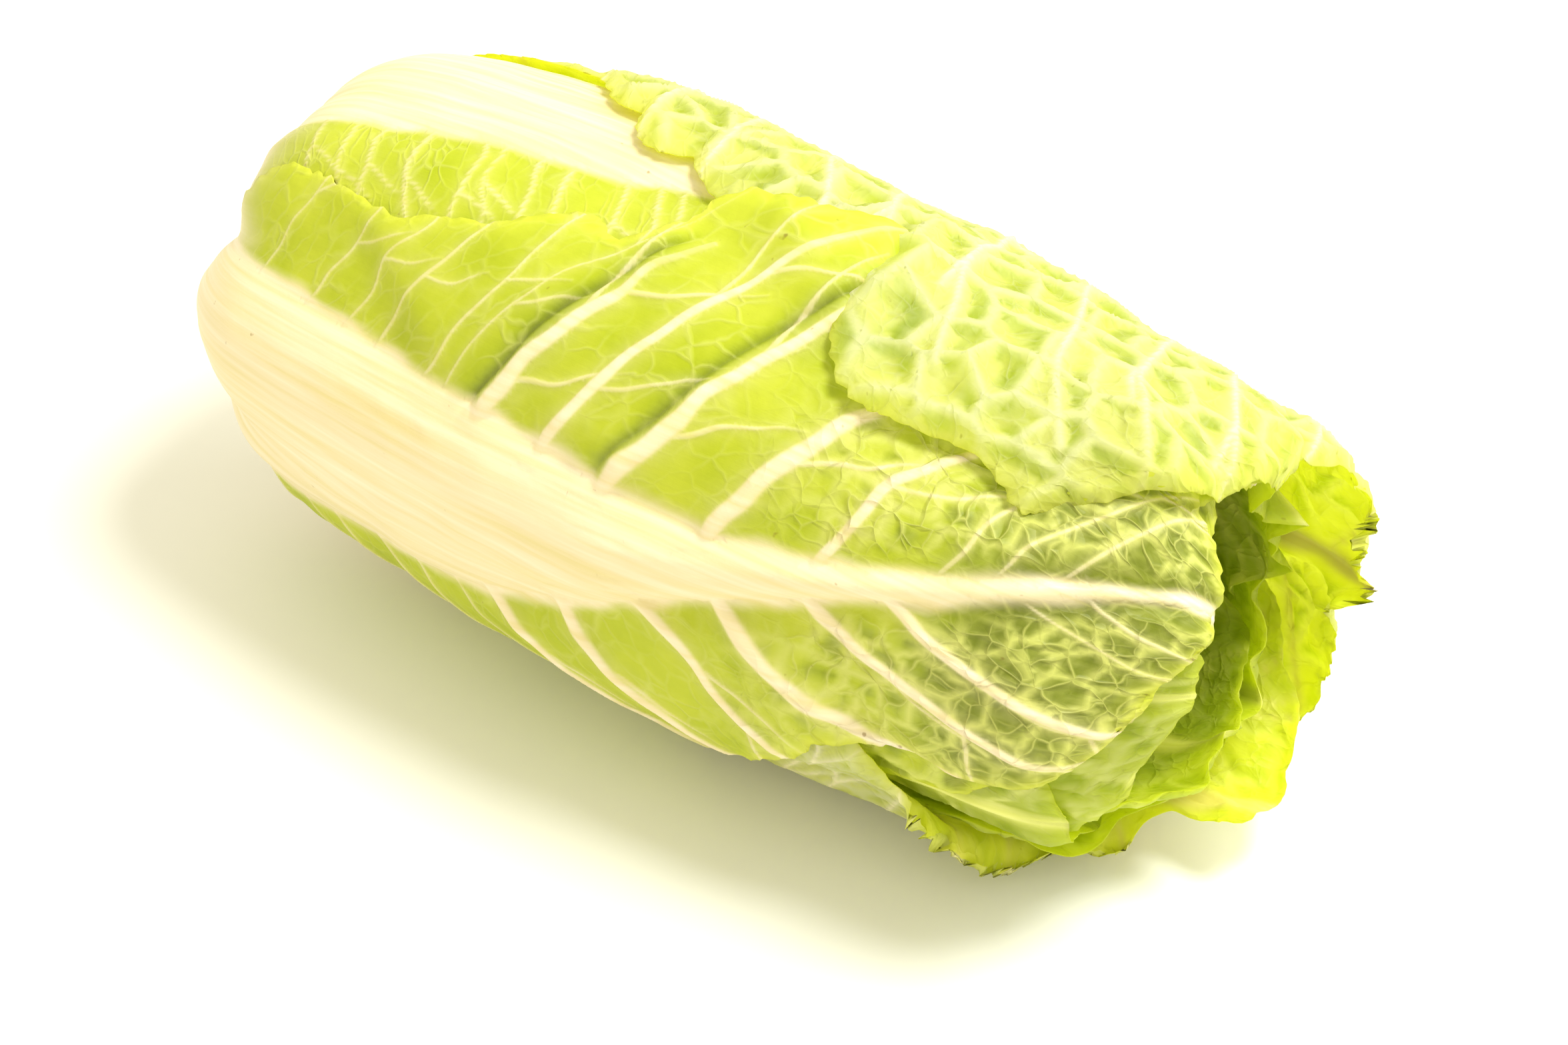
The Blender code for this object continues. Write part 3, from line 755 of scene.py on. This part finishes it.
def wrapping_leaf(name, material):
    chart, leaves = laid_head()
    leaf = leaves[name]
    bm = trimmed_slab(leaf.outline, leaf.cell)
    refine(bm, leaf)
    piece = finished_piece(bm, f"{name}_blade", material)
    mesh = piece.data
    co = np.empty(len(mesh.vertices) * 3, np.float32)
    mesh.vertices.foreach_get("co", co)
    co = co.reshape(-1, 3)
    points, twin = np.unique(co[:, :2].round(3), axis=0, return_inverse=True)
    points = points.astype(float)
    twin = twin.ravel()
    outer = co[:, 2] > 0.5
    lie = leaf.surface(points)
    s, theta = points[:, 0], points[:, 1] / GIRTH
    if leaf.shares:
        under = lie["blister"] + 5 * smooth_step((s - 270) / 60) * noise(points, 24, leaf.seed + 80)
        top = chart.place_within(s, theta, under + lie["relief"], leaf.shares)
        bottom = chart.place_within(s, theta, under + lie["relief"] - lie["thick"], leaf.shares)
    else:
        out, out_s, out_theta = leaf.stray(points)
        under = chart.sample(leaf.under, s, theta) + lie["blister"] + out
        top = chart.place(s, theta, under + lie["relief"], leaf.stands, out_s, out_theta)
        under = under + lie["follow"] * (lie["relief"] - lie["thick"])
        bottom = chart.place(s, theta, under, leaf.stands, out_s, out_theta)
    place = np.where(outer[:, None], top[twin], bottom[twin])
    mesh.vertices.foreach_set("co", place.astype(np.float32).ravel())
    unwrap(mesh, (points * MM)[twin])
    net = mesh.attributes.new("net_place", "FLOAT_VECTOR", "POINT")
    net.data.foreach_set("vector", net_place(points, leaf.rib_edges)[twin].astype(np.float32).ravel())
    for key in ("pale", "ridge", "deeper_green_and_shade", "edge", "savoy"):
        mark(mesh, key, lie[key][twin])
    mark(mesh, "inner_face", 1 - outer.astype(float))
    mesh.update()
    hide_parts(name)
    return piece


# ---- materials ----
def linear(hex_colour):
    """An sRGB hex colour, or a linear one from the panel, as linear red, green, blue and full alpha."""
    if not isinstance(hex_colour, str):
        return (*hex_colour, 1)
    parts = [int(hex_colour[i:i + 2], 16) / 255 for i in (1, 3, 5)]
    return (*(c / 12.92 if c <= 0.04045 else ((c + 0.055) / 1.055) ** 2.4 for c in parts), 1)


def node(tree, kind, settings=(), **links):
    """Adds one node: settings on the node itself, then values or links on its inputs by name or number."""
    made = tree.nodes.new(kind)
    for key, value in dict(settings).items():
        setattr(made, key, value)
    for key, value in links.items():
        socket = made.inputs[int(key[1:]) if key[1:].isdigit() else key.replace("_", " ")]
        if isinstance(value, bpy.types.NodeSocket):
            tree.links.new(value, socket)
        else:
            socket.default_value = value
    return made


def ramp(tree, factor, *stops):
    """A colour ramp with (position, sRGB hex) stops."""
    made = node(tree, "ShaderNodeValToRGB", Fac=factor)
    elements = made.color_ramp.elements
    for place, colour in stops[1:-1]:
        elements.new(place).color = linear(colour)
    elements[0].position, elements[0].color = stops[0][0], linear(stops[0][1])
    elements[-1].position, elements[-1].color = stops[-1][0], linear(stops[-1][1])
    return made.outputs["Color"]


def attribute(tree, name):
    return node(tree, "ShaderNodeAttribute", {"attribute_name": name}).outputs["Fac"]


def math(tree, operation, a, b=0.0, clamp=False):
    settings = {"operation": operation, "use_clamp": clamp}
    return node(tree, "ShaderNodeMath", settings, i0=a, i1=b).outputs["Value"]


def mix(tree, factor, a, b, blend="MIX"):
    settings = {"data_type": "RGBA", "blend_type": blend}
    return node(tree, "ShaderNodeMix", settings, i0=factor, i6=a, i7=b).outputs[2]


def clouds(tree, place, scale, detail, roughness=0.5, output="Fac"):
    made = node(tree, "ShaderNodeTexNoise", Vector=place, Scale=scale, Detail=detail, Roughness=roughness)
    return made.outputs[output]


def cell_borders(tree, uv, place, drift_scale, drift, scale):
    """Distance to the borders between cells whose places wander a little."""
    wander = clouds(tree, uv, drift_scale, 2.0, output="Color")
    bent = node(tree, "ShaderNodeVectorMath", {"operation": "MULTIPLY_ADD"}, i0=wander, i1=(drift, drift, 0),
                i2=place)
    return node(tree, "ShaderNodeTexVoronoi", {"feature": "DISTANCE_TO_EDGE"}, Vector=bent.outputs["Vector"],
                Scale=scale).outputs["Distance"]


def lines_between(tree, distance, sharpness):
    """1 on the borders, falling to 0 away from them."""
    return math(tree, "SUBTRACT", 1.0, math(tree, "MULTIPLY", distance, sharpness, True), True)


def bare_material(name):
    material = bpy.data.materials.new(name)
    material.use_nodes = True
    material.node_tree.nodes.clear()
    return material, material.node_tree


def leaf_material(name, colours):
    """Fresh cabbage leaf: a thin moist blade that lets light through, with a thick cream rib and veins."""
    material, tree = bare_material(name)
    uv = node(tree, "ShaderNodeUVMap", {"uv_map": "leaf"}).outputs["UV"]
    pale, ridge, deeper_green_and_shade = (attribute(tree, key) for key in ("pale", "ridge", "deeper_green_and_shade"))
    edge, savoy, inner = (attribute(tree, key) for key in ("edge", "savoy", "inner_face"))
    times, plus, minus, larger, power = (
        partial(math, tree, kind) for kind in ("MULTIPLY", "ADD", "SUBTRACT", "MAXIMUM", "POWER"))
    # the finest net of veins, cells about 4 mm across
    place = node(tree, "ShaderNodeAttribute", {"attribute_name": "net_place"}).outputs["Vector"]
    fine_vein = lines_between(tree, cell_borders(tree, uv, place, 90.0, 0.005, 230.0), 9.0)
    patchy = clouds(tree, uv, 60.0, 2.0)
    patchy = times(minus(patchy, 0.3, True), 2.6, True)
    fine_vein = times(fine_vein, patchy)
    # puckered cells between raised lines, about 8 mm across
    pucker = cell_borders(tree, uv, uv, 55.0, 0.018, 125.0)
    crest = times(power(lines_between(tree, pucker, 3.4), 2.0), savoy)
    line = times(lines_between(tree, pucker, 14.0), savoy)
    # soft cloudy variation of the green
    cloud = clouds(tree, uv, 38.0, 4.0, 0.6)
    fleck = clouds(tree, uv, 420.0, 3.0, 0.6)
    # long streaks in the rib
    along = node(tree, "ShaderNodeMapping", Vector=uv, Scale=(14.0, 330.0, 1.0)).outputs["Vector"]
    streak = clouds(tree, along, 1.0, 3.0, 0.55)
    # the green deepens with the leaf's own tint towards the tip, with painted shade in creases and hollows,
    # and at random in clouds
    tone = plus(times(deeper_green_and_shade, 0.7), times(cloud, 0.6))
    blade = ramp(tree, tone, (0.2, colours["blade_pale"]), (0.42, colours["blade"]),
                 (0.7, colours["blade_deep"]), (1.0, colours["blade_dark"]))
    # painted shade, over some real deeper green, in the hollows of the crinkled net
    blade = mix(tree, times(savoy, power(deeper_green_and_shade, 1.5)), blade, linear(colours["pit_shade"]))
    lit = larger(times(ridge, 0.9), times(fine_vein, 0.5))
    lit = larger(lit, times(line, 0.85))
    blade = mix(tree, lit, blade, linear(colours["net"]))
    # paler margin; the wide band at the open tips is a painted highlight on the rolled lips
    blade = mix(tree, times(edge, 0.75), blade, linear(colours["margin"]))
    blade = mix(tree, times(fleck, 0.16), blade, linear(colours["blade_pale"]))
    rib = ramp(tree, streak, (0.3, colours["rib_shade"]), (0.52, colours["rib"]),
               (0.75, colours["rib_light"]))
    whole = mix(tree, pale, blade, rib)
    # bruised flecks, dense along the margin and rare elsewhere
    speck = clouds(tree, uv, 260.0, 2.0)
    speck = plus(speck, times(edge, 0.07))
    speck = times(minus(speck, 0.74, True), 16.0, True)
    whole = mix(tree, times(speck, 0.6), whole, linear("#8c6a2c"))
    bright = mix(tree, times(inner, 0.75), whole, linear(colours["inner"]), "MULTIPLY")
    on_blade = minus(0.5, times(pale, 0.5))
    bump_height = plus(times(fine_vein, on_blade), times(fleck, 0.25))
    bump_height = plus(bump_height, times(streak, 0.4))
    bump = node(tree, "ShaderNodeBump", Strength=0.5, Distance=0.0008, Height=bump_height).outputs["Normal"]
    bump = node(tree, "ShaderNodeBump", Strength=0.8, Distance=0.001, Height=crest, Normal=bump)
    bump = bump.outputs["Normal"]
    shader = node(tree, "ShaderNodeBsdfPrincipled", Base_Color=bright, Roughness=0.42, IOR=1.42, Normal=bump)
    shader.inputs["Specular IOR Level"].default_value = 0.32
    glow = mix(tree, 0.65, whole, linear(colours["glow"]))
    through = node(tree, "ShaderNodeBsdfTranslucent", Color=glow, Normal=bump)
    see_through = times(minus(1.0, pale), colours["see_through"])
    both = node(tree, "ShaderNodeMixShader", i0=see_through, i1=shader.outputs["BSDF"],
                i2=through.outputs["BSDF"])
    node(tree, "ShaderNodeOutputMaterial", Surface=both.outputs["Shader"])
    return material


FINISH = (
    "blade", "blade_pale", "blade_deep", "blade_dark", "pit_shade", "net", "margin", "glow",
    "inner", "rib", "rib_shade", "rib_light", "see_through",
)


def finish(*values):
    """A group of leaves' colours, in the order of FINISH, and how much light comes through."""
    return dict(zip(FINISH, values))


OUTER = finish(
    "#c0ce1a", "#dae240", "#9cae08", "#5a6808", "#69790a", "#ecef86", "#ecf04c", "#eaf24a",
    "#f0f6a0", "#eedfb8", "#e6d69c", "#f6e9cc", 0.32,
)
BACK = finish(
    "#f0f082", "#fbf8a8", "#c0ce2c", "#93a80a", "#aac020", "#fffcdc", "#fbfb72", "#e8f208",
    "#f4fc50", "#f7e8c6", "#f1e0b2", "#fbf0d8", 0.62,
)
INNER = finish(
    "#ccd644", "#dde26a", "#b4c42c", "#98a81c", "#a8bc20", "#eef0a0", "#e8ee50", "#e4f024",
    "#f4f890", "#e6e884", "#dce070", "#eef0a0", 0.62,
)
HEART_LOOK = finish(
    "#d6de3e", "#e4e860", "#bccb28", "#9dae1a", "#9fb01c", "#e6ea90", "#dce450", "#dcea20",
    "#f4f890", "#f0e9b0", "#e8de94", "#f8f2c8", 0.55,
)


def plain_material(name, colour, dark, scale):
    """Blanched heart bud or cut core: matt, moist, with a faint mottle."""
    material, tree = bare_material(name)
    place = node(tree, "ShaderNodeTexCoord").outputs["Object"]
    cloud = clouds(tree, place, scale, 4.0)
    colour = ramp(tree, cloud, (0.35, dark), (0.65, colour))
    bump = node(tree, "ShaderNodeBump", Strength=0.3, Distance=0.0006, Height=cloud).outputs["Normal"]
    shader = node(tree, "ShaderNodeBsdfPrincipled", Base_Color=colour, Roughness=0.5, Normal=bump)
    node(tree, "ShaderNodeOutputMaterial", Surface=shader.outputs["BSDF"])
    return material


def material_named(name, make, *args):
    return bpy.data.materials.get(name) or make(name, *args)


# ---- what a user may change ----
def colour_property(name, description, hex_colour):
    return FloatVectorProperty(name=name, description=description, subtype="COLOR", size=3, min=0, max=1,
                               default=linear(hex_colour)[:3])


def share_property(name, description):
    return FloatProperty(name=name, description=description, default=1.0, min=0.2, max=1.5)


class CabbageLeaves(bpy.types.PropertyGroup):
    thickness: share_property("Thickness", "Thickness of the blades against a fresh head's")
    rib_height: share_property("Rib height", "How far the ribs stand proud of the blades")
    relief: share_property("Crinkle", "Depth of the net of raised veins")
    ruffle: share_property("Ruffle", "Size of the waves along the open tips")
    teeth: share_property("Teeth", "Size of the teeth along the margins")
    outer_blade: colour_property("Outer blade", "Green of the smooth outer leaves", OUTER["blade"])
    outer_rib: colour_property("Outer rib", "Cream of the outer leaves' ribs and veins", OUTER["rib"])
    crinkled_blade: colour_property("Crinkled blade", "Green of the crinkled outer leaves", BACK["blade"])
    inner_blade: colour_property("Inner blade", "Green of the inner leaves", INNER["blade"])
    heart_blade: colour_property("Heart blade", "Yellow green of the heart leaves", HEART_LOOK["blade"])
    core: colour_property("Core", "Cream of the cut core", "#f4eccb")


def leaf_finish(name, colours, **changed):
    """The finish of one group of leaves, with the colours that the panel sets."""
    return material_named(name, leaf_material, {**colours, **changed})


def fresh_finish(looks):
    return leaf_finish("fresh_outer_leaf", OUTER, blade=looks.outer_blade, rib=looks.outer_rib)


def crinkled_finish(looks):
    return leaf_finish("crinkled_outer_leaf", BACK, blade=looks.crinkled_blade)


class CabbageStage(bpy.types.PropertyGroup):
    azimuth: FloatProperty(name="Camera azimuth", description="Degrees round from the front", default=36.0)
    elevation: FloatProperty(name="Camera elevation", description="Degrees above the floor", default=40.0)
    distance: FloatProperty(name="Camera distance", description="From the camera to the middle of the head",
                            default=0.958, min=0.2, unit="LENGTH")
    lens: FloatProperty(name="Focal length", description="Lens on a 36 mm frame", default=85.0, unit="CAMERA")
    key: FloatProperty(name="Key light", description="Power of the large soft light", default=15.5,
                       min=0, unit="POWER")
    back: FloatProperty(name="Back light", description="Power of the light behind the open tip", default=6.5,
                        min=0, unit="POWER")
    # painted light: the tabletop's own warm glow, which lightens the shadows on it
    lift: FloatProperty(name="Tabletop glow", description="Light that the lit tabletop adds to shadows",
                        default=0.02, min=0)
    fill: FloatProperty(name="Ambient", description="Strength of the surrounding white", default=1.0, min=0)
    floor: FloatVectorProperty(name="Floor colour", description="Colour of the tabletop", subtype="COLOR",
                               size=3, default=(0.9, 0.9, 0.88), min=0, max=1)


class CABBAGE_OT_front_leaf(bpy.types.Operator):
    """The broad leaf at the front, whose rib runs the length of the head"""

    bl_idname = "cabbage.front_leaf"
    bl_label = "Front leaf"

    def execute(self, context):
        wrapping_leaf("outer_leaf_front", fresh_finish(context.scene.cabbage_leaves))
        return {"FINISHED"}


class CABBAGE_OT_back_leaf(bpy.types.Operator):
    """The crinkled leaf that wraps the back and folds over the crown"""

    bl_idname = "cabbage.back_leaf"
    bl_label = "Back leaf"

    def execute(self, context):
        wrapping_leaf("outer_leaf_back", crinkled_finish(context.scene.cabbage_leaves))
        return {"FINISHED"}


class CABBAGE_OT_other_outer_leaves(bpy.types.Operator):
    """The other outer leaves: top, bottom and upper front"""

    bl_idname = "cabbage.other_outer_leaves"
    bl_label = "Other outer leaves"

    def execute(self, context):
        looks = context.scene.cabbage_leaves
        fresh, crinkled = fresh_finish(looks), crinkled_finish(looks)
        for name in ("outer_leaf_top", "outer_leaf_upper_front"):
            wrapping_leaf(name, fresh)
        wrapping_leaf("outer_leaf_bottom", crinkled)
        return {"FINISHED"}


class CABBAGE_OT_inner_leaves(bpy.types.Operator):
    """The paler leaves beneath the outer ones"""

    bl_idname = "cabbage.inner_leaves"
    bl_label = "Inner leaves"

    def execute(self, context):
        shaded = leaf_finish("shaded_inner_leaf", INNER, blade=context.scene.cabbage_leaves.inner_blade)
        for facts in LEAVES:
            if facts["name"].startswith("inner"):
                wrapping_leaf(facts["name"], shaded)
        return {"FINISHED"}


class CABBAGE_OT_heart_and_core(bpy.types.Operator):
    """The finish of the heart leaves, the bud and the cut core"""

    bl_idname = "cabbage.heart_and_core"
    bl_label = "Heart and core"

    def execute(self, context):
        looks = context.scene.cabbage_leaves
        blanched = leaf_finish("blanched_heart_leaf", HEART_LOOK, blade=looks.heart_blade)
        for facts in HEART:
            wrapping_leaf(facts["name"], blanched)
        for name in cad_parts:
            thing = bpy.data.objects.get(name)
            if name == "heart_bud":
                look = material_named("blanched_heart_bud", plain_material, "#f2f0a0", "#e6e67a", 60.0)
            elif name == "stem":
                look = material_named("cut_core", plain_material, looks.core, "#e4d6a4", 140.0)
            else:
                continue
            for slot in thing.material_slots:
                slot.material = look
        return {"FINISHED"}


# in metres: the lights, what they aim at, and what the camera looks at
KEY_PLACE, KEY_AIM, KEY_SIZE = (0.5, 0.18, 1.35), (0, 0, 0.05), 0.5
BACK_PLACE, BACK_AIM, BACK_SIZE = (0.6, 0.85, 0.7), (0.08, 0, 0.06), 0.8
LOOK_AT = (0, -0.004, 0.053)
FLOOR_HALF = 3


class CABBAGE_OT_stage(bpy.types.Operator):
    """The tabletop, the soft light and the camera"""

    bl_idname = "cabbage.stage"
    bl_label = "Stage"

    def execute(self, context):
        sizes = context.scene.cabbage_stage
        bm = bmesh.new()
        bmesh.ops.create_grid(bm, x_segments=1, y_segments=1, size=FLOOR_HALF)
        mesh = bpy.data.meshes.new("tabletop")
        bm.to_mesh(mesh)
        bm.free()
        floor = bpy.data.objects.new("tabletop", mesh)
        bpy.context.collection.objects.link(floor)
        material = bpy.data.materials.new("matt_white_tabletop")
        material.use_nodes = True
        shader = material.node_tree.nodes["Principled BSDF"]
        shader.inputs["Base Color"].default_value = (*sizes.floor, 1)
        shader.inputs["Roughness"].default_value = 0.9
        shader.inputs["Specular IOR Level"].default_value = 0.1
        # painted light: the tabletop glows warm yellow, lightening and yellowing the shadows on it
        shader.inputs["Emission Color"].default_value = (1.0, 0.86, 0.5, 1)
        shader.inputs["Emission Strength"].default_value = sizes.lift
        mesh.materials.append(material)

        world = bpy.data.worlds.new("white_studio")
        world.use_nodes = True
        background = world.node_tree.nodes["Background"]
        background.inputs["Color"].default_value = (1.0, 0.95, 0.75, 1)
        background.inputs["Strength"].default_value = sizes.fill
        context.scene.world = world

        def area(name, place, aim, size, power, colour):
            lamp = bpy.data.lights.new(name, "AREA")
            lamp.shape = "DISK"
            lamp.size = size
            lamp.energy = power
            lamp.color = colour
            thing = bpy.data.objects.new(name, lamp)
            thing.location = place
            thing.rotation_euler = (Vector(aim) - Vector(place)).to_track_quat("-Z", "Y").to_euler()
            bpy.context.collection.objects.link(thing)

        area("key_light", KEY_PLACE, KEY_AIM, KEY_SIZE, sizes.key, (1, 1, 0.98))
        area("back_light", BACK_PLACE, BACK_AIM, BACK_SIZE, sizes.back, (1, 1, 0.96))

        turn, rise = np.radians(sizes.azimuth), np.radians(sizes.elevation)
        target = Vector(LOOK_AT)
        outward = Vector((np.sin(turn) * np.cos(rise), -np.cos(turn) * np.cos(rise), np.sin(rise)))
        camera = bpy.data.objects.new("camera", bpy.data.cameras.new("camera"))
        camera.data.lens = sizes.lens
        camera.data.sensor_width = 36
        camera.location = target + outward * sizes.distance
        camera.rotation_euler = (-outward).to_track_quat("-Z", "Y").to_euler()
        bpy.context.collection.objects.link(camera)
        context.scene.camera = camera
        context.scene.view_settings.view_transform = "Standard"
        return {"FINISHED"}


OPERATORS = (
    CABBAGE_OT_front_leaf, CABBAGE_OT_back_leaf, CABBAGE_OT_other_outer_leaves, CABBAGE_OT_inner_leaves,
    CABBAGE_OT_heart_and_core, CABBAGE_OT_stage,
)


class CABBAGE_PT_panel(bpy.types.Panel):
    bl_label = "Napa cabbage"
    bl_space_type = "VIEW_3D"
    bl_region_type = "UI"
    bl_category = "Cabbage"

    def draw(self, context):
        for group in (context.scene.cabbage_leaves, context.scene.cabbage_stage):
            for name in group.bl_rna.properties.keys():
                if name not in ("rna_type", "name"):
                    self.layout.prop(group, name)
        for operator in OPERATORS:
            self.layout.operator(operator.bl_idname)


CLASSES = (CabbageLeaves, CabbageStage, *OPERATORS, CABBAGE_PT_panel)


def register():
    for cls in CLASSES:
        bpy.utils.register_class(cls)
    bpy.types.Scene.cabbage_leaves = PointerProperty(type=CabbageLeaves)
    bpy.types.Scene.cabbage_stage = PointerProperty(type=CabbageStage)


def unregister():
    del bpy.types.Scene.cabbage_stage
    del bpy.types.Scene.cabbage_leaves
    for cls in reversed(CLASSES):
        bpy.utils.unregister_class(cls)


def main():
    register()
    for operator in OPERATORS:
        group, name = operator.bl_idname.split(".")
        getattr(getattr(bpy.ops, group), name)()


if __name__ == "__main__":
    main()
